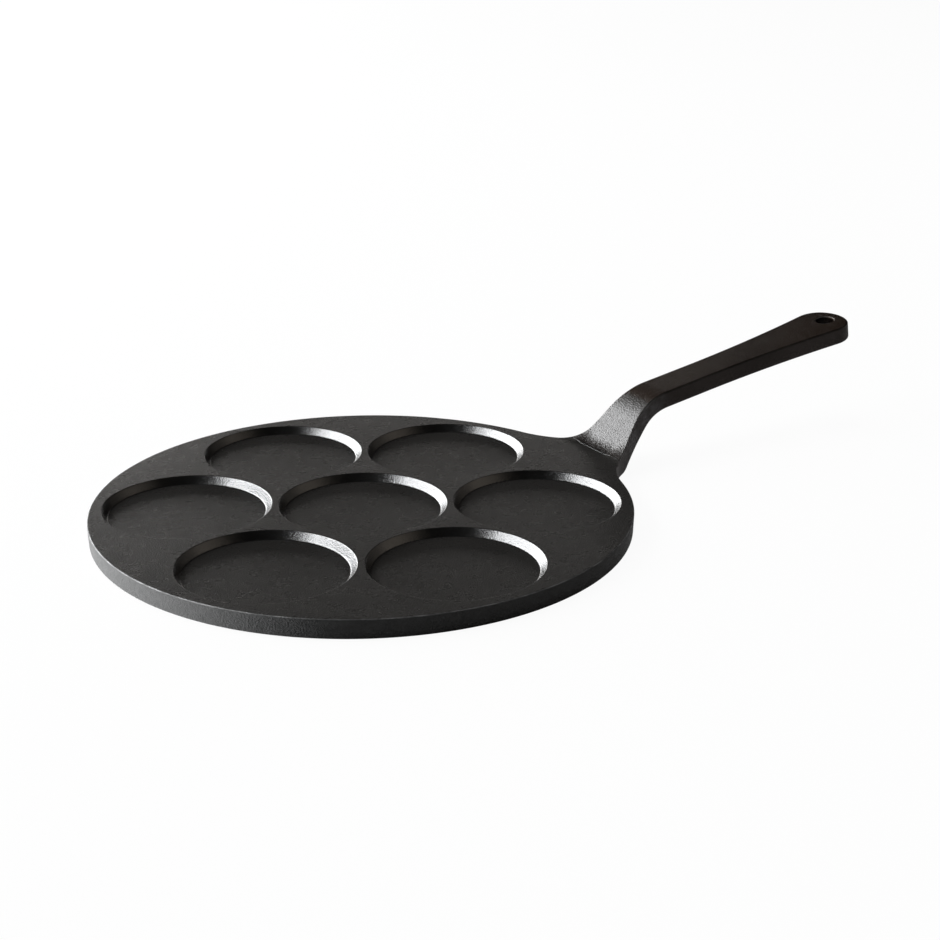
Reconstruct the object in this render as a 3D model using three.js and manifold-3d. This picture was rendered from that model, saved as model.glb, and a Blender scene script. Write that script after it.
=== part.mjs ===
// Cast-iron plett pan: a thick round plate with seven shallow wells, and a cranked handle
// whose tang is cast into the plate's neck.
// Millimetres, +Z up. The origin is the centre of the plate's underside, and the handle points along +X.

import * as THREE from 'three';
import { mergeVertices } from 'three/addons/utils/BufferGeometryUtils.js';
import Module from 'manifold-3d';

const wasm = await Module();
wasm.setup();

// Plate
const PLATE_DIAMETER = 230;
const PLATE_THICKNESS = 8.2;
const RIM_DRAFT = 2; // degrees, the rim leans in towards the underside
const RIM_EDGE_RADIUS = 0.8;

// Wells, one in the middle and the others in a ring around it
const RING_WELLS = 6;
const RIM_MARGIN = 4.9; // land between the outer wells and the rim
const WELL_GAP = 2.7; // land between two neighbouring wells
const WELL_DEPTH = 3.4;
const WELL_WALL_LEAN = 37.5; // degrees from upright
const WELL_LIP_RADIUS = 0.5;
const WELL_CORNER_RADIUS = 1.0;

// Handle, seen from the side
const NECK_LENGTH = 7; // from the rim to the shoulder where the handle starts
const CRANK_SETBACK = 2.95; // from the shoulder to where the crank's slope would meet the plate's top
const CRANK_RISE = 22.75; // height of the bend above the plate's top
const CRANK_ANGLE = 49.6; // degrees
const CRANK_THICKNESS = 8.45;
const FOOT_RADIUS = 17.2; // hollow fillet from the plate's top into the slope
const HEEL_RADIUS = 5; // round under the foot
const BEND_RADIUS = 30.5; // round over the bend
const UNDER_BEND_RADIUS = 21.2; // hollow under the bend
const GRIP_TILT = 8.8; // degrees
const GRIP_THICKNESS = 7.9;
const HANDLE_EDGE_RADIUS = 0.8;

// Handle, seen from above
const HANDLE_REACH = 154.85; // from the rim to the top of the tip
const GRIP_WIDTH = 17.9;
const END_SWELL = 5.05; // how much the end stands out past each side of the grip
const END_CORNER_RADIUS = 11.2;
const END_BLUNTNESS = 3.4; // how much flatter the tip's arc is than a half round
const GRIP_FLARE_RADIUS = 600; // long hollow curve from the grip into the end
const NECK_FILLET_RADIUS = 45; // hollow curve from the rim into the grip
const HANG_HOLE_DIAMETER = 8.5;
const HANG_HOLE_WALL = 4.65; // metal between the hole and the tip
const HANG_HOLE_EDGE_RADIUS = 0.6;

// Tang, a dovetail inside the plate's neck
const TANG_LENGTH = 20;
const TANG_ROOT_WIDTH = 20; // at the shoulder
const TANG_SPREAD = 3; // how much each side widens towards the far end
const TANG_THICKNESS = 3.6;
const SEAM = 0.3; // gap between the two castings

// Facets
const RIM_STEPS = 56; // along half of the rim
const WELL_STEPS = 60;
const ROUND_STEPS = 2; // along each rounded edge
const CURVE_STEPS = 10; // along each curve of the handle's outline
const GRIP_STEPS = 12;
const HOLE_STEPS = 28;

const PLATE_FINISH = { color: 0x3c3b39, roughness: 0.65, metalness: 0.3 };
const HANDLE_FINISH = { color: 0x2c2825, roughness: 0.6, metalness: 0.3 };

const radians = THREE.MathUtils.degToRad;
const plateRadius = PLATE_DIAMETER / 2;
const gripHalf = GRIP_WIDTH / 2;
const endHalf = gripHalf + END_SWELL;
const shoulderX = plateRadius + NECK_LENGTH;
const tipX = plateRadius + HANDLE_REACH;
const holeRadius = HANG_HOLE_DIAMETER / 2;
const holeX = tipX - HANG_HOLE_WALL - holeRadius;

// Solids

function toSolid(geometry) {
  geometry.deleteAttribute('normal');
  geometry.deleteAttribute('uv');
  const merged = mergeVertices(geometry, 1e-5);
  const index = merged.index.array;
  const corners = [];
  for (let i = 0; i < index.length; i += 3) {
    const [a, b, c] = [index[i], index[i + 1], index[i + 2]];
    if (a !== b && b !== c && c !== a) corners.push(a, b, c);
  }
  return new wasm.Manifold(new wasm.Mesh({
    numProp: 3,
    vertProperties: Float32Array.from(merged.attributes.position.array),
    triVerts: Uint32Array.from(corners),
  }));
}

function toGeometry(solid) {
  const mesh = solid.getMesh();
  const geometry = new THREE.BufferGeometry();
  geometry.setAttribute('position', new THREE.BufferAttribute(Float32Array.from(mesh.vertProperties), 3));
  geometry.setIndex(Array.from(mesh.triVerts));
  geometry.computeVertexNormals();
  return geometry;
}

// Stacks outlines into a closed solid. A level is half an outline, from the shoulder to the far end on the
// middle plane, with the height of each of its points; the other half is its mirror image.
function stackedSolid(levels) {
  const sideCount = levels[0].length;
  const ringCount = 2 * sideCount - 1;
  const positions = [];
  for (const side of levels) {
    for (const p of side) positions.push(p.x, p.y, p.z);
    for (let i = sideCount - 2; i >= 0; i--) positions.push(side[i].x, -side[i].y, side[i].z);
  }
  const triangles = [];
  const quad = (a, b, c, d) => triangles.push([a, b, c], [a, c, d]);
  for (let level = 0; level + 1 < levels.length; level++) {
    const low = level * ringCount;
    const high = low + ringCount;
    for (let i = 0; i < ringCount; i++) {
      const next = (i + 1) % ringCount;
      quad(low + i, low + next, high + next, high + i);
    }
  }
  const top = (levels.length - 1) * ringCount;
  for (let i = 0; i + 1 < sideCount; i++) {
    const mirrored = ringCount - 1 - i;
    const ahead = i + 1;
    const mirroredAhead = ringCount - 2 - i;
    quad(mirrored, mirroredAhead, ahead, i);
    quad(top + i, top + ahead, top + mirroredAhead, top + mirrored);
  }
  const [first, last] = [levels[0][0], levels[0][sideCount - 1]];
  const clockwise = last.x > first.x;
  const index = triangles.flatMap(([a, b, c]) => (clockwise ? [c, b, a] : [a, b, c]));
  const geometry = new THREE.BufferGeometry();
  geometry.setAttribute('position', new THREE.Float32BufferAttribute(positions, 3));
  geometry.setIndex(index);
  return toSolid(geometry);
}

// A rounded edge as steps of how far it stands in from the side and up from the face.
function edgeSteps(radius) {
  const steps = [];
  for (let i = 0; i <= ROUND_STEPS; i++) {
    const angle = (i / ROUND_STEPS) * (Math.PI / 2);
    steps.push({ inset: radius * (1 - Math.sin(angle)), lift: radius * (1 - Math.cos(angle)) });
  }
  return steps;
}

function arcPoints(centre, radius, from, to, steps) {
  const points = [];
  for (let i = 0; i <= steps; i++) {
    const angle = from + ((to - from) * i) / steps;
    points.push(new THREE.Vector2(centre.x + radius * Math.cos(angle), centre.y + radius * Math.sin(angle)));
  }
  return points;
}

// Plan outlines

// The curve on each side of the neck touches the round rim and the straight side of the grip.
const filletCentre = new THREE.Vector2(0, gripHalf + NECK_FILLET_RADIUS);
filletCentre.x = Math.sqrt((plateRadius + NECK_FILLET_RADIUS) ** 2 - filletCentre.y ** 2);
const rimAngle = filletCentre.angle();

function shoulderAngle(x, inset) {
  return -Math.acos((x - filletCentre.x) / (NECK_FILLET_RADIUS + inset));
}

function plateOutline(inset) {
  const neck = arcPoints(
    filletCentre, NECK_FILLET_RADIUS + inset,
    shoulderAngle(shoulderX - SEAM / 2, inset), rimAngle - Math.PI, CURVE_STEPS / 2,
  );
  const rim = arcPoints(new THREE.Vector2(), plateRadius - inset, rimAngle, Math.PI, RIM_STEPS);
  rim[RIM_STEPS].y = 0;
  return [...neck, ...rim.slice(1)];
}

// The end is a blunt arc between two corner rounds, and a long hollow curve leads from the grip into each corner.
const tipRadius = endHalf + END_BLUNTNESS;
const tipCentre = new THREE.Vector2(tipX - tipRadius, 0);
const cornerCentre = new THREE.Vector2(0, endHalf - END_CORNER_RADIUS);
cornerCentre.x = tipCentre.x + Math.sqrt((tipRadius - END_CORNER_RADIUS) ** 2 - cornerCentre.y ** 2);
const tipAngle = cornerCentre.clone().sub(tipCentre).angle();
const flareCentre = new THREE.Vector2(0, gripHalf + GRIP_FLARE_RADIUS);
const flareRise = flareCentre.y - cornerCentre.y;
flareCentre.x = cornerCentre.x - Math.sqrt((END_CORNER_RADIUS + GRIP_FLARE_RADIUS) ** 2 - flareRise ** 2);
const flareAngle = flareCentre.clone().sub(cornerCentre).angle();

function handleOutline(inset) {
  const neck = arcPoints(
    filletCentre, NECK_FILLET_RADIUS + inset,
    shoulderAngle(shoulderX + SEAM / 2, inset), -Math.PI / 2, 2 * CURVE_STEPS,
  );
  const grip = [];
  for (let i = 1; i < GRIP_STEPS; i++) {
    const x = THREE.MathUtils.lerp(filletCentre.x, flareCentre.x, i / GRIP_STEPS);
    grip.push(new THREE.Vector2(x, gripHalf - inset));
  }
  const flareRadius = GRIP_FLARE_RADIUS + inset;
  const flare = arcPoints(flareCentre, flareRadius, -Math.PI / 2, flareAngle - Math.PI, CURVE_STEPS);
  const corner = arcPoints(cornerCentre, END_CORNER_RADIUS - inset, flareAngle, tipAngle, CURVE_STEPS);
  const tip = arcPoints(tipCentre, tipRadius - inset, tipAngle, 0, CURVE_STEPS / 2);
  return [...neck, ...grip, ...flare, ...corner.slice(1), ...tip.slice(1)];
}

// Side profile of the handle

const slope = Math.tan(radians(CRANK_ANGLE));
const tilt = Math.tan(radians(GRIP_TILT));
const crankX = shoulderX + CRANK_SETBACK;
const bend = new THREE.Vector2(crankX + CRANK_RISE / slope, PLATE_THICKNESS + CRANK_RISE);

// Height along a line of straight runs, each corner rounded by an arc.
function roundedProfile(start, corners, endSlope) {
  const arcs = corners.map(({ at, radius }, i) => {
    const before = i ? corners[i - 1].at : start;
    const inAngle = Math.atan2(at.y - before.y, at.x - before.x);
    const after = corners[i + 1]?.at;
    const outAngle = after ? Math.atan2(after.y - at.y, after.x - at.x) : Math.atan(endSlope);
    const turn = Math.sign(outAngle - inAngle);
    const tangent = radius * Math.tan(Math.abs(outAngle - inAngle) / 2);
    const from = at.x - tangent * Math.cos(inAngle);
    const centre = new THREE.Vector2(
      from - turn * radius * Math.sin(inAngle),
      at.y - tangent * Math.sin(inAngle) + turn * radius * Math.cos(inAngle),
    );
    const to = at.x + tangent * Math.cos(outAngle);
    return { at, from, to, centre, radius, turn, inSlope: Math.tan(inAngle) };
  });
  return (x) => {
    for (const arc of arcs) {
      if (x < arc.from) return arc.at.y + (x - arc.at.x) * arc.inSlope;
      if (x <= arc.to) return arc.centre.y - arc.turn * Math.sqrt(arc.radius ** 2 - (x - arc.centre.x) ** 2);
    }
    const last = arcs[arcs.length - 1].at;
    return last.y + (x - last.x) * endSlope;
  };
}

const handleTop = roundedProfile(
  new THREE.Vector2(0, PLATE_THICKNESS),
  [
    { at: new THREE.Vector2(crankX, PLATE_THICKNESS), radius: FOOT_RADIUS },
    { at: bend, radius: BEND_RADIUS },
  ],
  tilt,
);

// The underside runs parallel to the slope and to the grip, and starts level with the plate's underside.
const slopeDrop = CRANK_THICKNESS / Math.cos(radians(CRANK_ANGLE));
const gripDrop = GRIP_THICKNESS / Math.cos(radians(GRIP_TILT));
const heel = new THREE.Vector2(crankX + (slopeDrop - PLATE_THICKNESS) / slope, 0);
const underBend = new THREE.Vector2(bend.x + (slopeDrop - gripDrop) / (slope - tilt), 0);
underBend.y = (underBend.x - heel.x) * slope;
const handleUnder = roundedProfile(
  new THREE.Vector2(0, 0),
  [
    { at: heel, radius: HEEL_RADIUS },
    { at: underBend, radius: UNDER_BEND_RADIUS },
  ],
  tilt,
);

// Plate

const neighbourSpread = Math.max(1, 0.5 / Math.sin(Math.PI / RING_WELLS));
const wellRadius = (plateRadius - RIM_MARGIN - WELL_GAP * neighbourSpread) / (1 + 2 * neighbourSpread);
const wellPitch = plateRadius - RIM_MARGIN - wellRadius;

function plateBlank() {
  const lean = Math.tan(radians(RIM_DRAFT));
  const level = (inset, z) => plateOutline(inset + (PLATE_THICKNESS - z) * lean)
    .map((p) => new THREE.Vector3(p.x, p.y, z));
  const steps = edgeSteps(RIM_EDGE_RADIUS);
  return stackedSolid([
    ...steps.map(({ inset, lift }) => level(inset, lift)),
    ...[...steps].reverse().map(({ inset, lift }) => level(inset, PLATE_THICKNESS - lift)),
  ]);
}

// The space that a well takes out of the plate, with a hollow corner round its floor and a rounded lip.
function wellSpace() {
  const lean = radians(WELL_WALL_LEAN);
  const floorZ = PLATE_THICKNESS - WELL_DEPTH;
  const wallX = (z) => wellRadius - (PLATE_THICKNESS - z) * Math.tan(lean);
  const cornerZ = floorZ + WELL_CORNER_RADIUS;
  const lipZ = PLATE_THICKNESS - WELL_LIP_RADIUS;
  const corner = new THREE.Vector2(wallX(cornerZ) - WELL_CORNER_RADIUS / Math.cos(lean), cornerZ);
  const lip = new THREE.Vector2(wallX(lipZ) + WELL_LIP_RADIUS / Math.cos(lean), lipZ);
  const above = PLATE_THICKNESS + WELL_DEPTH;
  const profile = [
    new THREE.Vector2(0, floorZ),
    ...arcPoints(corner, WELL_CORNER_RADIUS, -Math.PI / 2, -lean, ROUND_STEPS),
    ...arcPoints(lip, WELL_LIP_RADIUS, Math.PI - lean, Math.PI / 2, ROUND_STEPS),
    new THREE.Vector2(lip.x, above),
    new THREE.Vector2(0, above),
  ];
  return toSolid(new THREE.LatheGeometry(profile, WELL_STEPS).rotateX(Math.PI / 2));
}

function tang(clearance) {
  const backX = shoulderX - TANG_LENGTH - clearance;
  const frontX = shoulderX + SEAM;
  const rootHalf = TANG_ROOT_WIDTH / 2 + clearance;
  const backHalf = rootHalf + TANG_SPREAD;
  const shape = new THREE.Shape([
    new THREE.Vector2(frontX, -rootHalf),
    new THREE.Vector2(frontX, rootHalf),
    new THREE.Vector2(backX, backHalf),
    new THREE.Vector2(backX, -backHalf),
  ]);
  const depth = TANG_THICKNESS + 2 * clearance;
  const block = new THREE.ExtrudeGeometry(shape, { depth, bevelEnabled: false });
  return toSolid(block.translate(0, 0, (PLATE_THICKNESS - depth) / 2));
}

function griddlePlate() {
  const well = wellSpace();
  let plate = plateBlank().subtract(well);
  for (let i = 0; i < RING_WELLS; i++) {
    const angle = ((i + 0.5) / RING_WELLS) * 2 * Math.PI; // the handle lies between two wells
    plate = plate.subtract(well.translate([wellPitch * Math.cos(angle), wellPitch * Math.sin(angle), 0]));
  }
  return plate.subtract(tang(SEAM));
}

// Handle

// The end's side stands square to the tilted grip, so it steps outwards with its depth below the top. The sides of
// the crank stand upright, and the step grows along the grip, where the outline is straight.
function squareStep(x, depth) {
  return depth * Math.sin(radians(GRIP_TILT)) * THREE.MathUtils.smoothstep(x, filletCentre.x, flareCentre.x);
}

function handleBlank() {
  const level = (inset, depth, height) => handleOutline(inset).map((p) => {
    const x = p.x + squareStep(p.x, depth);
    return new THREE.Vector3(x, p.y, height(x));
  });
  const steps = edgeSteps(HANDLE_EDGE_RADIUS);
  return stackedSolid([
    ...steps.map(({ inset, lift }) => level(inset, GRIP_THICKNESS - lift, (x) => handleUnder(x) + lift)),
    ...[...steps].reverse().map(({ inset, lift }) => level(inset, lift, (x) => handleTop(x) - lift)),
  ]);
}

// The hanging hole, square to the grip, with its rims rounded.
function holeSpace() {
  const steps = edgeSteps(HANG_HOLE_EDGE_RADIUS);
  const centre = new THREE.Vector2(holeX, 0);
  const lean = radians(GRIP_TILT);
  const ring = (inset, depth) => arcPoints(centre, holeRadius + inset, 0, Math.PI, HOLE_STEPS / 2)
    .map((p) => new THREE.Vector3(p.x + depth * Math.sin(lean), p.y, handleTop(p.x) - depth * Math.cos(lean)));
  const mouth = HANG_HOLE_EDGE_RADIUS;
  return stackedSolid([
    ring(mouth, 2 * GRIP_THICKNESS),
    ...steps.map(({ inset, lift }) => ring(inset, GRIP_THICKNESS - lift)),
    ...[...steps].reverse().map(({ inset, lift }) => ring(inset, lift)),
    ring(mouth, -GRIP_THICKNESS),
  ]);
}

function handle() {
  return handleBlank().add(tang(0)).subtract(holeSpace());
}

// Assembly

function castPiece(name, solid, finish) {
  const mesh = new THREE.Mesh(toGeometry(solid), new THREE.MeshStandardMaterial(finish));
  mesh.name = name;
  return mesh;
}

const pan = new THREE.Group();
pan.add(castPiece('griddle_plate', griddlePlate(), PLATE_FINISH));
pan.add(castPiece('handle', handle(), HANDLE_FINISH));

export default pan;
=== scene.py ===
import math

import bmesh
import bpy
import numpy as np
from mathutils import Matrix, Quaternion, Vector, geometry, noise


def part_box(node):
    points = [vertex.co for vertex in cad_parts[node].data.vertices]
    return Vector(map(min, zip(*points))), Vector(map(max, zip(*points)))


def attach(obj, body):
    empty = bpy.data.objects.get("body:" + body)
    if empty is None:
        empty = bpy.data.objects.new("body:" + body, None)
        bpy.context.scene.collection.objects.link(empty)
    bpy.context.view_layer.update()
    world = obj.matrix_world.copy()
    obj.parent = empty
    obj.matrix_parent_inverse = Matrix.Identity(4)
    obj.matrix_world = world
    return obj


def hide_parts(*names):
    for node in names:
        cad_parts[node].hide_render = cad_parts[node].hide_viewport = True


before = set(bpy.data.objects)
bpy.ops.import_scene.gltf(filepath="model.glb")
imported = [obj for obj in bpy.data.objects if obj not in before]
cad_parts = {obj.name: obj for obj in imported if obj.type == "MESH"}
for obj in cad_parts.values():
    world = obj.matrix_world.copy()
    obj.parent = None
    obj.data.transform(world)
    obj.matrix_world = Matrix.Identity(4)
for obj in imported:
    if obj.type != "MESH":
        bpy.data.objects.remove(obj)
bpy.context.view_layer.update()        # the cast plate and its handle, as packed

mm = 0.001
plateLow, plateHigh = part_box("griddle_plate")
_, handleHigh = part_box("handle")
packedMaterials = len(bpy.data.materials)


# Small helpers

def smooth(t):
    t = min(max(t, 0.0), 1.0)
    return t * t * (3 - 2 * t)


def arc(centre, radius, start, end, steps):
    angles = [start + (end - start) * i / steps for i in range(steps + 1)]
    return [(centre[0] + radius * math.cos(a), centre[1] + radius * math.sin(a)) for a in angles]


def roundSteps(steps):
    # a quarter round from a side onto a face: share stepped in, share still to climb, and the mask for edge
    # wear and for the painted highlight on edges
    turns = [i / steps * math.pi / 2 for i in range(steps + 1)]
    return [(1 - math.cos(a), 1 - math.sin(a), math.sin(2 * a)) for a in turns]


def addNode(tree, kind, settings=None, sockets=None):
    node = tree.nodes.new(kind)
    for key, value in (settings or {}).items():
        setattr(node, key, value)
    for key, value in (sockets or {}).items():
        node.inputs[key].default_value = value
    return node


def addMath(tree, operation, *values, clamp=False):
    # each value is a number or the output of another node
    node = addNode(tree, "ShaderNodeMath", {"operation": operation, "use_clamp": clamp})
    for socket, value in zip(node.inputs, values):
        if isinstance(value, float):
            socket.default_value = value
        else:
            tree.links.new(value, socket)
    return node.outputs[0]


def stretch(tree, value, source, target=(0.0, 1.0)):
    # takes one range of values to another
    node = addNode(tree, "ShaderNodeMapRange", sockets={
        "From Min": source[0], "From Max": source[1], "To Min": target[0], "To Max": target[1],
    })
    tree.links.new(value, node.inputs["Value"])
    return node.outputs["Result"]


def showMix(tree, share, first, second, resultKind):
    # a mix of two shaders is what shows
    mix = addNode(tree, "ShaderNodeMixShader")
    for socket, value in zip(mix.inputs, (share, first, second)):
        tree.links.new(value, socket)
    tree.links.new(mix.outputs[0], addNode(tree, resultKind).inputs["Surface"])


# Iron finishes, depths and grain sizes in millimetres

groundLook = {                      # cooking face and floors of the wells, seasoned
    "dark": (0.0180, 0.0171, 0.0160),
    "light": (0.0220, 0.0209, 0.0196),
    "wornAndHighlightColour": (0.040, 0.039, 0.037),
    "ior": 1.12,
    "rough": 0.28,
    "roughSpread": 0.02,
    "grain": 0.6,
    "grainDepth": 0.13,
    "skin": 6.0,
    "skinDepth": 0.015,
    "pits": 0.9,
    "pitDepth": 0.03,
    "mottle": 38.0,
}
wallLook = dict(                                          # walls and lips of the wells, ground smooth
    groundLook,
    dark=(0.0056, 0.0053, 0.0049),
    light=(0.0076, 0.0072, 0.0066),
    ior=2.4,
    rough=0.24,
    grainDepth=0.12,
    skinDepth=0.012,
    pitDepth=0.012,
)
rimLook = dict(                                           # rim and underside, as cast
    groundLook,
    dark=(0.036, 0.0357, 0.0352),
    light=(0.042, 0.0416, 0.0411),
    ior=1.07,
    rough=0.55,
    grain=0.75,
    grainDepth=0.26,
    skinDepth=0.03,
    mottle=2.5,
    # painted highlight: this pale colour draws a light line on the rim's edge rounds, standing in for the
    # light they catch as well as their wear
    wornAndHighlightColour=(0.26, 0.258, 0.255),
)
lineLook = dict(                                          # raised line across the neck, painted lighter as a highlight on the foot's edge
    rimLook,
    dark=(0.05, 0.0495, 0.049),
    light=(0.072, 0.0714, 0.0704),
    ior=1.4,
    rough=0.4,
)
gripLook = dict(                                          # handle, as cast and browner
    groundLook,
    dark=(0.0046, 0.0027, 0.0017),
    light=(0.0072, 0.0045, 0.0031),
    ior=1.25,
    # painted highlight: this pale colour draws the light line along the crank's edges at the bend, besides
    # the wear on the grip's edges
    wornAndHighlightColour=(0.10, 0.097, 0.093),
    rough=0.31,
    grain=0.7,
    grainDepth=0.2,
    skinDepth=0.05,
)
crankLook = dict(                                         # crank, rubbed and shinier
    gripLook,
    dark=(0.0050, 0.0041, 0.0036),
    light=(0.0076, 0.0064, 0.0057),
    ior=1.64,
    rough=0.29,
    grainDepth=0.28,
)
sideLook = dict(                                          # sides of the handle and of the neck
    gripLook,
    dark=(0.0274, 0.0228, 0.0206),
    light=(0.0380, 0.0320, 0.0293),
    # painted sheen: this bluish grey on the crank's sides stands in for the floor's reflection there, and on
    # the edges for a highlight
    wornAndHighlightColour=(0.16, 0.157, 0.163),
    ior=1.12,
    rough=0.55,
)
ironPattern = {                     # how the noise of every finish is used
    "grainDetail": 2.0,
    "skinDetail": 3.0,
    "mottleDetail": 5.0,
    "pitsDetail": 1.0,
    "pitRange": (0.24, 0.36),       # from the bottom of a pit to the plain face
    "mottleRange": (0.36, 0.64),    # from the dark colour to the light one
    "roughRange": (0.3, 0.7),       # from the smoothest skin to the roughest
    "patchRange": (0.42, 0.6),      # from the skin with the least wear and painted highlight to the one with the most
    "leastWearAndHighlight": 0.35,
    "wearAndHighlightShare": 0.5,               # of the pale colour for wear and painted highlight, where the mask is full
    "wornPolish": 0.05,             # off the roughness, where the mask is full
}
mixSockets = {"first": 6, "second": 7, "result": 2}       # a Mix node's colours go by number


def ironFinish(name, look):
    material = bpy.data.materials.new(name)
    material.use_nodes = True
    tree = material.node_tree
    shader = tree.nodes["Principled BSDF"]
    link = tree.links.new
    place = addNode(tree, "ShaderNodeTexCoord").outputs["Object"]

    def noiseOf(layer):
        scale = 1 / (look[layer] * mm)
        detail = ironPattern[layer + "Detail"]
        node = addNode(tree, "ShaderNodeTexNoise", sockets={"Scale": scale, "Detail": detail})
        link(place, node.inputs["Vector"])
        return node.outputs["Fac"]

    def mixColour(share, first, second):
        node = addNode(tree, "ShaderNodeMix", {"data_type": "RGBA"})
        link(share, node.inputs["Factor"])
        for end, value in (("first", first), ("second", second)):
            socket = node.inputs[mixSockets[end]]
            if isinstance(value, tuple):
                socket.default_value = (*value, 1.0)
            else:
                link(value, socket)
        return node.outputs[mixSockets["result"]]

    def bumpOf(height, depth, below=None):
        node = addNode(tree, "ShaderNodeBump", sockets={"Distance": depth * mm})
        link(height, node.inputs["Height"])
        if below:
            link(below, node.inputs["Normal"])
        return node.outputs["Normal"]

    grain = noiseOf("grain")
    skin = noiseOf("skin")
    mottle = stretch(tree, noiseOf("mottle"), ironPattern["mottleRange"])
    pits = stretch(tree, noiseOf("pits"), ironPattern["pitRange"])                # low where a pit is
    patches = stretch(tree, skin, ironPattern["patchRange"], (ironPattern["leastWearAndHighlight"], 1.0))
    # the mesh's edge mask marks real wear, and on the rim and the crank also painted highlight and sheen, in
    # a pale colour
    wearAndHighlightMask = addNode(tree, "ShaderNodeAttribute", {"attribute_name": "wearAndHighlight"}).outputs["Fac"]
    wearAndHighlight = addMath(tree, "MULTIPLY", wearAndHighlightMask, patches)                             # wear and painted highlight, in patches

    blotches = mixColour(mottle, look["dark"], look["light"])
    wearAndHighlightMix = stretch(tree, wearAndHighlight, (0.0, 1.0), (0.0, ironPattern["wearAndHighlightShare"]))
    link(mixColour(wearAndHighlightMix, blotches, look["wornAndHighlightColour"]), shader.inputs["Base Color"])

    smoothest = look["rough"] - look["roughSpread"]
    roughest = look["rough"] + look["roughSpread"]
    scatter = stretch(tree, skin, ironPattern["roughRange"], (smoothest, roughest))
    polished = addMath(tree, "MULTIPLY_ADD", wearAndHighlight, -ironPattern["wornPolish"], scatter)
    link(polished, shader.inputs["Roughness"])

    uneven = bumpOf(skin, look["skinDepth"])
    pitted = bumpOf(pits, look["pitDepth"], uneven)
    link(bumpOf(grain, look["grainDepth"], pitted), shader.inputs["Normal"])
    shader.inputs["IOR"].default_value = look["ior"]
    return material


def bendLook(share):
    # from the crank's shine to the grip's
    look = dict(gripLook)
    for key in ("ior", "rough", "grainDepth"):
        look[key] = crankLook[key] + (gripLook[key] - crankLook[key]) * share
    return look


groundIron = ironFinish("ground_iron", groundLook)
wallIron = ironFinish("wall_iron", wallLook)
rimIron = ironFinish("rim_iron", rimLook)
lineIron = ironFinish("line_iron", lineLook)
gripIron = ironFinish("grip_iron", gripLook)
crankIron = ironFinish("crank_iron", crankLook)
bendSteps = 4                                             # finishes between the crank's and the grip's
bendShares = [i / (bendSteps + 1) for i in range(1, bendSteps + 1)]
bendIrons = [ironFinish(f"bend_iron_{i}", bendLook(share)) for i, share in enumerate(bendShares, 1)]
sideIron = ironFinish("side_iron", sideLook)
print("finishes made:", len(bpy.data.materials) - packedMaterials)


# Sizes that the plate and the handle share, millimetres and degrees

neck = {
    "length": 7.0,        # from the rim to the shoulder, where the handle's foot stands
    "fillet": 45.0,       # hollow curve from the rim into the grip
    "draft": 2.0,         # the rim leans in towards the underside
    "edge": 0.45,         # round of the rim's edges
    "support": 0.4,       # flat ring that keeps the shading of a face flat beside its round
    "footSteps": 40,      # across the shoulder
    "steps": 24,          # along each side of the neck
}
grip = {
    "width": 17.9,
    "endSwell": 5.05,     # how much the end stands out past each side of the grip
    "endCorner": 11.2,
    "endBluntness": 3.4,
    "flare": 600.0,       # long hollow curve from the grip into the end
}
crank = {
    "setback": 2.95,      # from the shoulder to where the slope would meet the plate's top
    "rise": 22.75,
    "angle": 49.6,
    "thickness": 8.45,
    "foot": 17.2,         # hollow fillet above the foot, at its sides
    "footMiddle": 11.0,   # and in its middle
    "heel": 5.0,
    "bend": 30.5,
    "underBend": 21.2,
    "tilt": 8.8,          # of the grip
    "gripThickness": 7.9,
}

lean = math.tan(math.radians(neck["draft"]))
plateTopZ = plateHigh.z / mm
plateRadius = -plateLow.x / mm + neck["edge"] * lean
shoulderX = plateRadius + neck["length"]
gripHalf = grip["width"] / 2
endHalf = gripHalf + grip["endSwell"]
neckY = gripHalf + neck["fillet"]
neckX = math.sqrt((plateRadius + neck["fillet"]) ** 2 - neckY ** 2)
rimAngle = math.atan2(neckY, neckX)
neckFrom = plateRadius * math.cos(rimAngle)               # where the neck leaves the round rim


def neckArc(inset, steps, end):
    start = -math.acos((shoulderX - neckX) / (neck["fillet"] + inset))
    return arc((neckX, neckY), neck["fillet"] + inset, start, end, steps)


def roundedLine(start, corners, endSlope):
    # gives the height along straight runs whose corners (x, z, radius) are arcs
    arcs = []
    for i, (x, z, radius) in enumerate(corners):
        before = corners[i - 1] if i else start
        inAngle = math.atan2(z - before[1], x - before[0])
        outAngle = math.atan(endSlope)
        if i + 1 < len(corners):
            outAngle = math.atan2(corners[i + 1][1] - z, corners[i + 1][0] - x)
        turn = math.copysign(1, outAngle - inAngle)
        reach = radius * math.tan(abs(outAngle - inAngle) / 2)
        first = x - reach * math.cos(inAngle)
        centre = (
            first - turn * radius * math.sin(inAngle),
            z - reach * math.sin(inAngle) + turn * radius * math.cos(inAngle),
        )
        arcs.append((first, x + reach * math.cos(outAngle), centre, radius, turn, x, z, math.tan(inAngle)))

    endX, endZ, _ = corners[-1]

    def height(at):
        for first, last, centre, radius, turn, x, z, inSlope in arcs:
            if at < first:
                return z + (at - x) * inSlope
            if at <= last:
                return centre[1] - turn * math.sqrt(radius ** 2 - (at - centre[0]) ** 2)
        return endZ + (at - endX) * endSlope

    return height


slope = math.tan(math.radians(crank["angle"]))
tilt = math.tan(math.radians(crank["tilt"]))
crankX = shoulderX + crank["setback"]
bendX = crankX + crank["rise"] / slope
bendZ = plateTopZ + crank["rise"]
slopeDrop = crank["thickness"] / math.cos(math.radians(crank["angle"]))
gripDrop = crank["gripThickness"] / math.cos(math.radians(crank["tilt"]))
heelX = crankX + (slopeDrop - plateTopZ) / slope
underBendX = bendX + (slopeDrop - gripDrop) / (slope - tilt)


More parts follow.
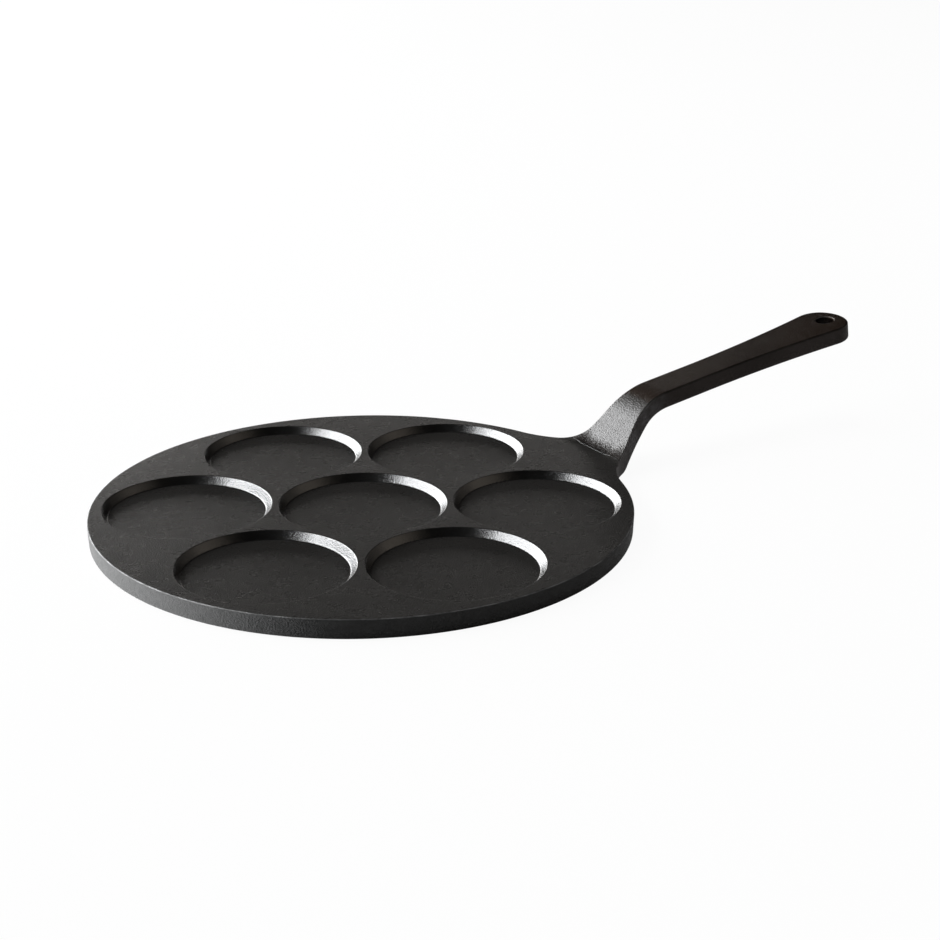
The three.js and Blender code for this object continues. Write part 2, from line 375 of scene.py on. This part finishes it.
def topLine(footRadius):
    foot = (crankX, plateTopZ, footRadius)
    bend = (bendX, bendZ, crank["bend"])
    return roundedLine((0, plateTopZ), [foot, bend], tilt)


def underLine():
    heel = (heelX, 0, crank["heel"])
    bend = (underBendX, (underBendX - heelX) * slope, crank["underBend"])
    return roundedLine((0, 0), [heel, bend], tilt)


handleTop = topLine(crank["foot"])
tightTop = topLine(crank["footMiddle"])
handleUnder = underLine()


# Mesh helpers

meshRules = {
    "insideLoops": 1,     # kind of triangulation that leaves out what is outside the loops
    "samePoint": 1e-5,    # points of a face that lie closer are one, millimetres
    "seam": 0.002,        # corners of the finished mesh that lie closer are one
    "sharpFrom": 35.0,    # degrees between two faces
    "rowPitch": 0.866,    # rows of even triangles, by the size of their grid
}


def wholeRing(side):
    # half an outline from the shoulder to the far end, its mirror image, and the line across the shoulder
    mirrored = [(x, -y) for x, y in reversed(side[:-1])]
    x, y = side[0]
    steps = neck["footSteps"]
    across = [(x, y * (2 * i / steps - 1)) for i in range(1, steps)]
    return side + mirrored + across


def addRing(mesh, points, wearAndHighlight=0.0):
    layer = mesh.verts.layers.float["wearAndHighlight"]
    ring = [mesh.verts.new(Vector(p) * mm) for p in points]
    for vert in ring:
        vert[layer] = wearAndHighlight
    return ring


def joinRings(mesh, rings, finish):
    for low, high in zip(rings, rings[1:]):
        for i, vert in enumerate(low):
            after = (i + 1) % len(low)
            mesh.faces.new((vert, low[after], high[after], high[i])).material_index = finish


def fillFace(mesh, loops, inner, height, outside, finish):
    # triangles between closed loops of (x, y), through the inner points, except where outside(x, y)
    # finish is the number of a material, or gives it for an x
    points = []
    edges = []
    for loop in loops:
        first = len(points)
        points += [Vector(p) for p in loop]
        edges += [(first + i, first + (i + 1) % len(loop)) for i in range(len(loop))]
    points += [Vector(p) for p in inner]
    kind = meshRules["insideLoops"]
    places, _, faces = geometry.delaunay_2d_cdt(points, edges, [], kind, meshRules["samePoint"])[:3]
    verts = addRing(mesh, [(p.x, p.y, height(p.x, p.y)) for p in places])
    for face in faces:
        middle = sum((places[i] for i in face), Vector((0, 0))) / len(face)
        if not outside(middle.x, middle.y):
            index = finish(middle.x) if callable(finish) else finish
            mesh.faces.new([verts[i] for i in face]).material_index = index


def finishedPiece(name, mesh, materials, node):
    bmesh.ops.remove_doubles(mesh, verts=mesh.verts, dist=meshRules["seam"] * mm)
    bmesh.ops.recalc_face_normals(mesh, faces=mesh.faces)
    openEdges = sum(not edge.is_manifold for edge in mesh.edges)
    data = bpy.data.meshes.new(name)
    mesh.to_mesh(data)
    mesh.free()
    for material in materials:
        data.materials.append(material)
    data.shade_smooth()
    data.set_sharp_from_angle(angle=math.radians(meshRules["sharpFrom"]))
    piece = bpy.data.objects.new(name, data)
    bpy.context.scene.collection.objects.link(piece)
    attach(piece, "root")
    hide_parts(node)
    print("piece made:", name, len(data.polygons), "faces,", openEdges, "open edges")


def newMesh():
    mesh = bmesh.new()
    mesh.verts.layers.float.new("wearAndHighlight")
    return mesh


# The foot line: the handle's foot stands proud of the plate along a line across the neck

footLine = {
    "half": 7.8,          # half its length
    "shift": 1.1,         # its middle lies off the handle's axis
    "fade": 6.0,          # past its ends the plate climbs to meet the foot
    "edge": 0.2,          # round of the foot's edge
    "front": 0.25,        # share of that round which goes with the foot's front
    "rows": (0.12, 0.26, 0.45, 0.7, 1.0, 1.4),             # of points beside it, by that round
}


def climb(y):
    return smooth((abs(y - footLine["shift"]) - footLine["half"]) / footLine["fade"])


def footTop(x, y):
    # the hollow above the foot is tighter in the middle than at its sides
    return handleTop(x) * climb(y) + tightTop(x) * (1 - climb(y))


# Plate with its wells

plate = {
    "rimMargin": 4.9,     # land between the outer wells and the rim
    "wellGap": 2.7,       # land between two wells
    "wellDepth": 3.4,
    "wallLean": 37.5,     # degrees from upright
    "lip": 0.5,
    "corner": 1.0,        # hollow round between wall and floor
    "ringWells": 6,
    "wellSteps": 168,
    "rimSteps": 170,
    "edgeSteps": 6,
    "sideSteps": 4,
    "landGrid": 2.6,
    "neckGrid": 0.9,
    "underGrid": 7.0,
    "waver": 0.03,        # unevenness of the casting
    "waverSize": 14.0,
    "wallRings": (0.12, 0.35, 0.65, 0.88),                 # shares of the way down a wall
    "floorRings": 11,
    "levelFrom": 0.9,     # upward part of the normal, below which a face belongs to a wall
}
plateIrons = [groundIron, rimIron, sideIron, wallIron]
onLand, onRim, onNeck, onWall = range(len(plateIrons))
wellRadius = (plateRadius - plate["rimMargin"] - plate["wellGap"]) / 3    # half the middle well, an outer one
wellPitch = plateRadius - plate["rimMargin"] - wellRadius
wellAngles = [(i + 0.5) / plate["ringWells"] * 2 * math.pi for i in range(plate["ringWells"])]
wellPlaces = [(0.0, 0.0)] + [(wellPitch * math.cos(a), wellPitch * math.sin(a)) for a in wellAngles]


def plateSide(inset):
    rim = arc((0, 0), plateRadius - inset, rimAngle, math.pi, plate["rimSteps"])
    return neckArc(inset, neck["steps"], rimAngle - math.pi) + rim[1:]


def plateClimb(x, y):
    return climb(y) * max(0.0, footTop(x, y) - plateTopZ)


def landTop(x, y):
    return plateTopZ + plateClimb(x, y)


def waver(x, y):
    return plate["waver"] * noise.noise(Vector((x, y, 0)) / plate["waverSize"])


def insidePlate(x, y, margin):
    if x <= neckFrom:
        return math.hypot(x, y) < plateRadius - margin
    halfNeck = neckY - math.sqrt((neck["fillet"] + margin) ** 2 - (x - neckX) ** 2)
    return x < shoulderX - margin and abs(y) < halfNeck


def gridPoints(lowX, highX, halfY, size, keep):
    points = []
    pitch = size * meshRules["rowPitch"]
    for row in range(int(2 * halfY / pitch) + 1):
        y = -halfY + row * pitch
        for column in range(int((highX - lowX) / size) + 1):
            x = lowX + (column + (row % 2) / 2) * size
            if keep(x, y):
                points.append((x, y))
    return points


def wellProfile():
    # radius, height and wear from the land to the middle of the floor
    slant = math.radians(plate["wallLean"])
    floorZ = plateTopZ - plate["wellDepth"]
    lipZ = plateTopZ - plate["lip"]
    cornerZ = floorZ + plate["corner"]

    def wallAt(z):
        return wellRadius - (plateTopZ - z) * math.tan(slant)

    lipAt = (wallAt(lipZ) + plate["lip"] / math.cos(slant), lipZ)
    cornerAt = (wallAt(cornerZ) - plate["corner"] / math.cos(slant), cornerZ)
    steps = plate["edgeSteps"]
    lip = arc(lipAt, plate["lip"], math.pi / 2, math.pi - slant, steps)
    corner = arc(cornerAt, plate["corner"], -slant, -math.pi / 2, steps)
    wall = []
    for share in plate["wallRings"]:
        wall.append(tuple(a * (1 - share) + b * share for a, b in zip(lip[-1], corner[0])))
    profile = [(lip[0][0] + neck["support"], plateTopZ, 0.0)]
    profile += [(r, z, math.sin(math.pi * i / steps)) for i, (r, z) in enumerate(lip)]
    profile += [(r, z, 0.0) for r, z in wall + corner]
    floorRadius = corner[-1][0]
    profile.append((floorRadius - neck["support"], floorZ, 0.0))
    floorRings = plate["floorRings"]
    profile += [(floorRadius * (1 - i / floorRings), floorZ, 0.0) for i in range(1, floorRings)]
    return profile


def wellDish(profile):
    mesh = newMesh()
    steps = plate["wellSteps"]
    rings = []
    for radius, z, wearAndHighlight in profile:
        points = arc((0, 0), radius, 0, 2 * math.pi, steps)[:-1]
        rings.append(addRing(mesh, [(x, y, z) for x, y in points], wearAndHighlight))
    joinRings(mesh, rings, onLand)
    centre = addRing(mesh, [(0, 0, profile[-1][1])])[0]
    for i, vert in enumerate(rings[-1]):
        mesh.faces.new((vert, rings[-1][(i + 1) % steps], centre))
    data = bpy.data.meshes.new("well_dish")
    mesh.to_mesh(data)
    mesh.free()
    return data


def wellPattern():
    # one well in the middle and a ring of wells around it
    tree = bpy.data.node_groups.new("well_pattern", "GeometryNodeTree")
    sockets = {}
    for label, kind in (
        ("Well", "NodeSocketGeometry"),
        ("Ring Wells", "NodeSocketInt"),
        ("Pitch", "NodeSocketFloat"),
        ("First Angle", "NodeSocketFloat"),
        ("Iron", "NodeSocketMaterial"),
    ):
        sockets[label] = tree.interface.new_socket(label, in_out="INPUT", socket_type=kind).identifier
    tree.interface.new_socket("Wells", in_out="OUTPUT", socket_type="NodeSocketGeometry")
    given = addNode(tree, "NodeGroupInput").outputs
    result = addNode(tree, "NodeGroupOutput")
    ring = addNode(tree, "GeometryNodeMeshCircle")
    angle = addNode(tree, "ShaderNodeCombineXYZ")
    turn = addNode(tree, "FunctionNodeEulerToRotation")
    turned = addNode(tree, "GeometryNodeTransform")
    middle = addNode(tree, "GeometryNodePoints")
    places = addNode(tree, "GeometryNodeJoinGeometry")
    copies = addNode(tree, "GeometryNodeInstanceOnPoints")
    real = addNode(tree, "GeometryNodeRealizeInstances")
    coated = addNode(tree, "GeometryNodeSetMaterial")
    link = tree.links.new
    link(given["Ring Wells"], ring.inputs["Vertices"])
    link(given["Pitch"], ring.inputs["Radius"])
    link(given["First Angle"], angle.inputs["Z"])
    link(angle.outputs[0], turn.inputs[0])
    link(ring.outputs["Mesh"], turned.inputs["Geometry"])
    link(turn.outputs[0], turned.inputs["Rotation"])
    link(middle.outputs[0], places.inputs[0])
    link(turned.outputs[0], places.inputs[0])
    link(places.outputs[0], copies.inputs["Points"])
    link(given["Well"], copies.inputs["Instance"])
    link(copies.outputs[0], real.inputs[0])
    link(real.outputs[0], coated.inputs["Geometry"])
    link(given["Iron"], coated.inputs["Material"])
    link(coated.outputs[0], result.inputs[0])
    return tree, sockets


def sevenWells(profile):
    dish = bpy.data.objects.new("well_dish", wellDish(profile))
    bpy.context.scene.collection.objects.link(dish)
    tree, sockets = wellPattern()
    pattern = dish.modifiers.new("wells", "NODES")
    pattern.node_group = tree
    pattern[sockets["Ring Wells"]] = plate["ringWells"]
    pattern[sockets["Pitch"]] = wellPitch * mm
    pattern[sockets["First Angle"]] = wellAngles[0]
    pattern[sockets["Iron"]] = groundIron
    seen = dish.evaluated_get(bpy.context.evaluated_depsgraph_get())
    wells = bpy.data.meshes.new_from_object(seen)
    level = plate["levelFrom"]
    finishes = [onWall if face.normal.z < level else onLand for face in wells.polygons]
    wells.polygons.foreach_set("material_index", finishes)
    dish.modifiers.remove(pattern)
    bpy.data.objects.remove(dish)
    print("wells made:", len(wells.polygons), "faces")
    return wells


def plateLevels():
    # inset, height and mask for wear and painted highlight of the rings from the underside up, and the number
    # of the land's first ring
    edge = neck["edge"]
    border = edge + neck["support"]
    quarter = [(edge * inset, edge * drop, wearAndHighlight) for inset, drop, wearAndHighlight in roundSteps(plate["edgeSteps"])]
    levels = [(border, 0.0, 0.0)] + quarter[::-1]
    for i in range(1, plate["sideSteps"]):
        levels.append((0.0, edge + (plateTopZ - 2 * edge) * i / plate["sideSteps"], 0.0))
    levels += [(inset, plateTopZ - drop, wearAndHighlight) for inset, drop, wearAndHighlight in quarter]
    landFrom = len(levels) - 1
    levels.append((border, plateTopZ, 0.0))
    return levels, landFrom


def fillLand(mesh, outline, landRadius):
    border = neck["edge"] + neck["support"]
    fineFrom = plateRadius - neck["length"]
    coarse = plate["landGrid"]
    fine = plate["neckGrid"]
    circles = [arc(at, landRadius, 0, 2 * math.pi, plate["wellSteps"])[:-1] for at in wellPlaces]

    def inWell(x, y, gap=0.0):
        return any(math.hypot(x - a, y - b) < landRadius + gap for a, b in wellPlaces)

    def isFree(x, y, size, gap):
        return insidePlate(x, y, border + size / 2) and not inWell(x, y, gap)

    # the land between two wells is narrow, so the coarse grid comes within a third of its size
    inner = gridPoints(-plateRadius, fineFrom, plateRadius, coarse,
                       lambda x, y: isFree(x, y, coarse, coarse / 3))
    inner += gridPoints(fineFrom, shoulderX, plateRadius / 2, fine,
                        lambda x, y: isFree(x, y, fine, fine / 2))
    fillFace(mesh, [outline] + circles, inner, landTop, inWell, onLand)


def fillUnder(mesh, outline):
    size = plate["underGrid"]
    margin = neck["edge"] + neck["support"] + size / 2
    inner = gridPoints(-plateRadius, shoulderX, plateRadius, size, lambda x, y: insidePlate(x, y, margin))
    fillFace(mesh, [outline], inner, lambda x, y: 0.0, lambda x, y: False, onRim)


def makePlate():
    mesh = newMesh()
    levels, landFrom = plateLevels()
    rings = []
    outlines = []
    for inset, z, wearAndHighlight in levels:
        outline = wholeRing(plateSide(inset + (plateTopZ - z) * lean))
        outlines.append(outline)
        lifted = [(x, y, z + plateClimb(x, y) * z / plateTopZ) for x, y in outline]
        rings.append(addRing(mesh, lifted, wearAndHighlight))
    joinRings(mesh, rings[:landFrom + 1], onRim)
    joinRings(mesh, rings[landFrom:], onLand)

    profile = wellProfile()
    fillLand(mesh, outlines[-1], profile[0][0])
    fillUnder(mesh, outlines[0])
    wells = sevenWells(profile)
    mesh.from_mesh(wells)
    bpy.data.meshes.remove(wells)

    for face in mesh.faces:
        if face.material_index == onRim and face.calc_center_median().x > neckFrom * mm:
            face.material_index = onNeck
    for vert in mesh.verts:
        if vert.co.z > plateTopZ * mm / 2:
            vert.co.z += waver(vert.co.x / mm, vert.co.y / mm) * mm
    finishedPiece("iron_plate", mesh, plateIrons, "griddle_plate")


makePlate()


# Handle

handle = {
    "edge": 0.8,          # round along the crank and the grip
    "edgeGrows": 14.0,    # length past the shoulder over which the rim's round grows to this
    "draftUntil": 24.0,   # length past the shoulder over which the sides turn upright
    "edgeSteps": 7,
    "sideSteps": 4,
    "neckSteps": 40,
    "gripSteps": 24,
    "flareSteps": 34,
    "cornerSteps": 18,
    "tipSteps": 10,
    "overlap": 0.02,      # the foot meets the plate's end without a gap
    "crankGrid": 0.8,
    "gripGrid": 1.9,
    "hole": 8.9,
    "holeWall": 4.6,      # metal between the hole and the tip
    "holeEdge": 0.5,
    "rubbedTo": 145.5,    # the crank's finish ends here
    "rubbedFade": 2.0,    # and each finish on the bend is this wide
    "sheenFrom": 124.0,    # the painted sheen on the crank's sides and edges grows from here
    "sheenGrows": 9.0,     # over this length
    "sheenTo": 144.0,      # and fades away from here
    "sheenFades": 16.0,    # over this length
    "gripWearAndHighlight": 0.25,     # share of the edge wear and painted edge highlight that the grip's edges keep
    "holeSteps": 64,
}
handleIrons = [gripIron, sideIron, lineIron, crankIron] + bendIrons
onGrip, onSide, onLine, onCrank = range(len(handleIrons) - len(bendIrons))
footX = shoulderX - handle["overlap"]
sideLean = math.sin(math.radians(crank["tilt"]))        # the end's side stands square to the grip
tipX = handleHigh.x / mm - sideLean * (crank["gripThickness"] - handle["edge"])
holeRadius = handle["hole"] / 2
holeX = tipX - handle["holeWall"] - holeRadius
underHoleX = holeX + crank["gripThickness"] * sideLean
holeMouth = 1 + neck["support"] / handle["holeEdge"]    # flat ring round the hole, by the hole's edge
mouthRadius = holeRadius + handle["holeEdge"] * holeMouth
edgeSupport = 1 + neck["support"] / handle["edge"]      # flat ring beside the round, by that round

tipRadius = endHalf + grip["endBluntness"]
tipAt = (tipX - tipRadius, 0.0)
cornerY = endHalf - grip["endCorner"]
cornerAt = (tipAt[0] + math.sqrt((tipRadius - grip["endCorner"]) ** 2 - cornerY ** 2), cornerY)
tipAngle = math.atan2(cornerAt[1] - tipAt[1], cornerAt[0] - tipAt[0])
flareY = gripHalf + grip["flare"]
flareX = cornerAt[0] - math.sqrt((grip["endCorner"] + grip["flare"]) ** 2 - (flareY - cornerY) ** 2)
flareAngle = math.atan2(flareY - cornerY, flareX - cornerAt[0])


def handleSide(inset):
    points = neckArc(inset, handle["neckSteps"], -math.pi / 2)
    points[0] = (points[0][0] - handle["overlap"], points[0][1])
    for i in range(1, handle["gripSteps"]):
        points.append((neckX + (flareX - neckX) * i / handle["gripSteps"], gripHalf - inset))
    flareEnd = flareAngle - math.pi
    points += arc((flareX, flareY), grip["flare"] + inset, -math.pi / 2, flareEnd, handle["flareSteps"])
    points += arc(cornerAt, grip["endCorner"] - inset, flareAngle, tipAngle, handle["cornerSteps"])[1:]
    points += arc(tipAt, tipRadius - inset, tipAngle, 0, handle["tipSteps"])[1:]
    return points


def squareStep(x, depth):
    # the crank's sides are upright, and the step outwards grows along the straight of the grip
    return depth * sideLean * smooth((x - neckX) / (flareX - neckX))


def edgeAt(x):
    return neck["edge"] + (handle["edge"] - neck["edge"]) * smooth((x - shoulderX) / handle["edgeGrows"])


def leanAt(x):
    return lean * (1 - smooth((x - shoulderX) / handle["draftUntil"]))


def footRound(x, y):
    # the foot's edge along the foot line, gone where the plate meets it flush
    edge = footLine["edge"]
    into = max(0.0, x - footX)
    if into >= edge:
        return 0.0
    return (1 - climb(y)) * (edge - math.sqrt(edge ** 2 - (edge - into) ** 2))


def sideSheenAt(x):
    # painted sheen: the crank's sides are painted greyer and bluer than the grip's, standing in for the
    # floor's reflection, and its edges take a painted highlight
    grown = smooth((x - handle["sheenFrom"]) / handle["sheenGrows"])
    return grown * (1 - smooth((x - handle["sheenTo"]) / handle["sheenFades"]))


def topAt(x, y):
    return footTop(x, y) - footRound(x, y)


def underAt(x, y):
    return handleUnder(x)


def inHole(x, y, gap=0.0):
    return math.hypot(x - holeX, y) < mouthRadius + gap


def inUnderHole(x, y):
    return math.hypot(x - underHoleX, y) < mouthRadius


outerSide = handleSide(0.0)
innerSide = handleSide(1.0)                             # one millimetre further in


def handleRing(mesh, inset, raised, fromTop, wearAndHighlight):
    # inset and raised are shares of the edge's round, raised away from the top or the underside
    height = topAt if fromTop else underAt
    sign = -1 if fromTop else 1
    side = []
    for (x, y), (x1, y1) in zip(outerSide, innerSide):
        edge = edgeAt(x)
        z = height(x, y) + sign * edge * raised
        into = edge * inset + leanAt(x) * max(0.0, plateTopZ - z)
        depth = edge * raised if fromTop else crank["gripThickness"] - edge * raised
        side.append((x + (x1 - x) * into + squareStep(x, depth), y + (y1 - y) * into))
    outline = wholeRing(side)
    points = [(x, y, height(x, y) + sign * edgeAt(x) * raised) for x, y in outline]
    return outline, addRing(mesh, points, wearAndHighlight)


def handleShell(mesh):
    # the sides with their rounds. Gives the outlines of the underside and of the top
    quarter = roundSteps(handle["edgeSteps"])
    lower = [handleRing(mesh, edgeSupport, 0.0, False, 0.0)]
    lower += [handleRing(mesh, inset, drop, False, wearAndHighlight) for inset, drop, wearAndHighlight in reversed(quarter)]
    upper = [handleRing(mesh, inset, drop, True, wearAndHighlight) for inset, drop, wearAndHighlight in quarter]
    upper.append(handleRing(mesh, edgeSupport, 0.0, True, 0.0))
    lowRing = lower[-1][1]
    highRing = upper[0][1]
    sides = [lowRing]
    for i in range(1, handle["sideSteps"]):
        share = i / handle["sideSteps"]
        points = [(a.co * (1 - share) + b.co * share) / mm for a, b in zip(lowRing, highRing)]
        sides.append(addRing(mesh, points))
    sides.append(highRing)

    # painted highlight and sheen: the grip's edges keep a share of the edge mask, the crank's edges all of
    # it, and the crank's sides take the painted sheen
    layer = mesh.verts.layers.float["wearAndHighlight"]
    kept = handle["gripWearAndHighlight"]
    for _, ring in lower + upper:
        for vert in ring:
            vert[layer] *= kept + (1 - kept) * sideSheenAt(vert.co.x / mm)
    for ring in sides:
        for vert in ring:
            vert[layer] = sideSheenAt(vert.co.x / mm)

    joinRings(mesh, [ring for _, ring in lower], onGrip)
    joinRings(mesh, sides, onSide)
    joinRings(mesh, [ring for _, ring in upper], onGrip)
    # the foot's front takes the line's finish, painted lighter as a highlight
    frontTo = footX + footLine["edge"] * footLine["front"]
    for face in mesh.faces:
        if face.calc_center_median().x < frontTo * mm:
            face.material_index = onLine
    return lower[0][0], upper[-1][0]


def holeRing(mesh, grow, raised, fromTop, wearAndHighlight):
    rise = handle["holeEdge"] * raised
    depth = rise if fromTop else crank["gripThickness"] - rise
    centre = (holeX + depth * sideLean, 0)
    radius = holeRadius + handle["holeEdge"] * grow
    circle = arc(centre, radius, 0, 2 * math.pi, handle["holeSteps"])[:-1]
    points = [(x, y, handleTop(x) - rise if fromTop else handleUnder(x) + rise) for x, y in circle]
    return circle, addRing(mesh, points, wearAndHighlight)


def handleHole(mesh):
    # the hole's wall with its rounds. Gives its circles in the underside and in the top
    quarter = roundSteps(handle["edgeSteps"])
    loops = [holeRing(mesh, holeMouth, 0.0, False, 0.0)]
    loops += [holeRing(mesh, inset, drop, False, wearAndHighlight) for inset, drop, wearAndHighlight in reversed(quarter)]
    loops += [holeRing(mesh, inset, drop, True, wearAndHighlight) for inset, drop, wearAndHighlight in quarter]
    loops.append(holeRing(mesh, holeMouth, 0.0, True, 0.0))
    joinRings(mesh, [ring for _, ring in loops], onGrip)
    return loops[0][0], loops[-1][0]


def gridColumns(first, last, size):
    # points in columns across the handle, clear of its edges and its hole
    sideX = [x for x, _ in outerSide]
    sideY = [y for _, y in outerSide]
    points = []
    count = int((last - first) / size)
    for i in range(count + 1):
        x = first + (last - first) * i / max(count, 1)
        half = np.interp(x, sideX, sideY) - handle["edge"] - neck["support"] - size / 2
        rows = max(1, int(2 * half / size))
        for j in range(rows + 1 if half > 0 else 0):
            y = half * (2 * j / rows - 1)
            if not inHole(x, y, size / 2):
                points.append((x, y))
    return points


def footPoints():
    # rows of points along the foot line
    half = outerSide[0][1] - neck["edge"] * edgeSupport - neck["support"]
    steps = neck["footSteps"]
    points = []
    for row in footLine["rows"]:
        x = footX + footLine["edge"] * row
        points += [(x, half * (2 * i / steps - 1)) for i in range(steps + 1)]
    return points


def makeHandle():
    mesh = newMesh()
    underLoop, topLoop = handleShell(mesh)
    underCircle, topCircle = handleHole(mesh)

    lineTo = footX + footLine["edge"]
    crankEnd = bendX + crank["bend"]
    grid = gridColumns(footX + 2 * footLine["edge"], crankEnd, handle["crankGrid"])
    grid += gridColumns(crankEnd + handle["gripGrid"], tipX - 2 * handle["edge"], handle["gripGrid"])

    def onTop(x):
        return onLine if x < lineTo else onGrip

    fillFace(mesh, [topLoop, topCircle], footPoints() + grid, topAt, inHole, onTop)
    fillFace(mesh, [underLoop, underCircle], grid, underAt, inUnderHole, onGrip)

    for face in mesh.faces:
        past = (face.calc_center_median().x / mm - handle["rubbedTo"]) / handle["rubbedFade"]
        if face.material_index == onGrip and past < len(bendIrons):
            face.material_index = onCrank + max(0, math.ceil(past))
    finishedPiece("cranked_handle", mesh, handleIrons, "handle")


makeHandle()


# Floor, camera and light. Places are metres in the pan's own frame

floorLook = {
    "half": 9.0,
    "colour": (0.86, 0.86, 0.86),
    "white": 0.95,        # share of white that the camera and mirrored rays see
    "drop": 0.00005,      # below the pan's underside
}


def makeFloor():
    half = floorLook["half"]
    low = -floorLook["drop"]
    data = bpy.data.meshes.new("floor")
    corners = [(-half, -half, low), (half, -half, low), (half, half, low), (-half, half, low)]
    data.from_pydata(corners, [], [(0, 1, 2, 3)])
    material = bpy.data.materials.new("white_floor")
    material.use_nodes = True
    tree = material.node_tree
    tree.nodes.clear()
    path = addNode(tree, "ShaderNodeLightPath").outputs
    mirrored = addMath(tree, "ADD", path["Is Glossy Ray"], path["Is Transmission Ray"])
    seen = addMath(tree, "ADD", path["Is Camera Ray"], mirrored, clamp=True)
    share = addMath(tree, "MULTIPLY", seen, floorLook["white"])
    paint = addNode(tree, "ShaderNodeBsdfDiffuse", sockets={"Color": (*floorLook["colour"], 1.0)})
    glow = addNode(tree, "ShaderNodeEmission", sockets={"Strength": 1.0})
    showMix(tree, share, paint.outputs[0], glow.outputs[0], "ShaderNodeOutputMaterial")
    data.materials.append(material)
    floor = bpy.data.objects.new("floor", data)
    bpy.context.scene.collection.objects.link(floor)


def aimed(item, place, aim, roll):
    item.location = place
    item.rotation_mode = "QUATERNION"
    look = (Vector(aim) - Vector(place)).to_track_quat("-Z", "Y")
    item.rotation_quaternion = look @ Quaternion((0, 0, 1), math.radians(roll))
    bpy.context.scene.collection.objects.link(item)


view = {                  # worked out from the pattern of wells in the photograph
    "place": (-0.33762, -0.61222, 0.28634),
    "aim": (0.05959, 0.00866, 0.0082),
    "roll": 0.05,
    "lens": 67.68,
    "sensor": 36.0,
}


def makeCamera():
    lens = bpy.data.cameras.new("camera")
    lens.lens = view["lens"]
    lens.sensor_width = view["sensor"]
    camera = bpy.data.objects.new("camera", lens)
    aimed(camera, view["place"], view["aim"], view["roll"])
    bpy.context.scene.camera = camera


lamps = {
    "window": {           # large softbox to the left, its lower edge rising towards the front
        "place": (-1.147, 1.126, 1.248), "aim": (-0.119, -0.1, 1.248), "roll": 27.5,
        "width": 4.1, "height": 0.9, "radiance": 7.6, "tint": (0.97, 0.985, 1.0),
    },
    "top": {              # soft light from above, for the level faces
        "place": (-0.1485, 0.842, 2.349), "aim": (0.0, 0.0, 0.0), "roll": 0.0,
        "width": 1.2, "height": 1.2, "radiance": 4.6, "tint": (0.98, 0.99, 1.0), "mirrored": False,
    },
    "strip": {            # thin line below the plate's top, for the rim's left side
        "place": (-0.985, 0.7696, 0.0042), "aim": (0.0, 0.0, 0.0042), "roll": 0.0,
        "width": 0.6, "height": 0.006, "radiance": 13000.0, "tint": (0.96, 0.98, 1.0), "mirrored": False,
    },
    "backLeft": {         # low cards behind, which the flat faces mirror
        "place": (0.4341, 2.462, 0.375), "aim": (0.0, 0.0, 0.375), "roll": 0.0,
        "width": 1.0, "height": 0.49, "radiance": 4.0, "tint": (1.0, 0.975, 0.95),
    },
    "backMiddle": {
        "place": (1.3248, 2.1201, 0.375), "aim": (0.0, 0.0, 0.375), "roll": 0.0,
        "width": 1.0, "height": 0.49, "radiance": 1.55, "tint": (1.0, 0.965, 0.93),
    },
    "rightCard": {        # warm cards behind the handle, for the right walls of the wells
        "place": (2.462, 0.4341, 0.65), "aim": (0.0, 0.0, 0.65), "roll": 0.0,
        "width": 0.8, "height": 0.7, "radiance": 0.118, "tint": (1.0, 0.9, 0.8),
    },
    "rightHigh": {
        "place": (2.1666, -0.382, 1.1), "aim": (0.0, 0.0, 1.1), "roll": 0.0,
        "width": 1.0, "height": 0.9, "radiance": 0.096, "tint": (1.0, 0.9, 0.8),
    },
    "reflector": {        # warm card to the right
        "place": (1.229, -0.86, 0.85), "aim": (0.0, 0.0, 0.0), "roll": 0.0,
        "width": 1.4, "height": 1.2, "radiance": 0.215, "tint": (1.0, 0.88, 0.75),
    },
}
roomLook = {
    "light": (0.004, 0.004, 0.004),
    "horizon": (0.02, 0.05),               # upward part of a mirrored ray, from white to the room
}


def makeWorld():
    world = bpy.data.worlds.new("room")
    world.use_nodes = True
    tree = world.node_tree
    tree.nodes.clear()
    path = addNode(tree, "ShaderNodeLightPath").outputs
    heading = addNode(tree, "ShaderNodeSeparateXYZ")
    tree.links.new(addNode(tree, "ShaderNodeTexCoord").outputs["Generated"], heading.inputs[0])
    low = stretch(tree, heading.outputs["Z"], roomLook["horizon"], (1.0, 0.0))
    mirrored = addMath(tree, "ADD", path["Is Glossy Ray"], path["Is Transmission Ray"])
    lowOnly = addMath(tree, "MULTIPLY", mirrored, low)
    seen = addMath(tree, "ADD", path["Is Camera Ray"], lowOnly, clamp=True)
    white = floorLook["white"]
    room = addNode(tree, "ShaderNodeBackground", sockets={"Color": (*roomLook["light"], 1.0)})
    pale = addNode(tree, "ShaderNodeBackground", sockets={"Color": (white, white, white, 1.0)})
    showMix(tree, seen, room.outputs[0], pale.outputs[0], "ShaderNodeOutputWorld")
    bpy.context.scene.world = world


def makeLight():
    for name, lamp in lamps.items():
        light = bpy.data.lights.new(name, "AREA")
        light.shape = "RECTANGLE"
        light.size = lamp["width"]
        light.size_y = lamp["height"]
        light.color = lamp["tint"]
        light.energy = lamp["radiance"] * math.pi * lamp["width"] * lamp["height"]          # watts
        item = bpy.data.objects.new(name, light)
        item.visible_camera = False
        item.visible_glossy = lamp.get("mirrored", True)
        aimed(item, lamp["place"], lamp["aim"], lamp["roll"])
    makeWorld()
    bpy.context.scene.view_settings.view_transform = "Standard"


makeFloor()
makeCamera()
makeLight()
print("floor, camera and light set")
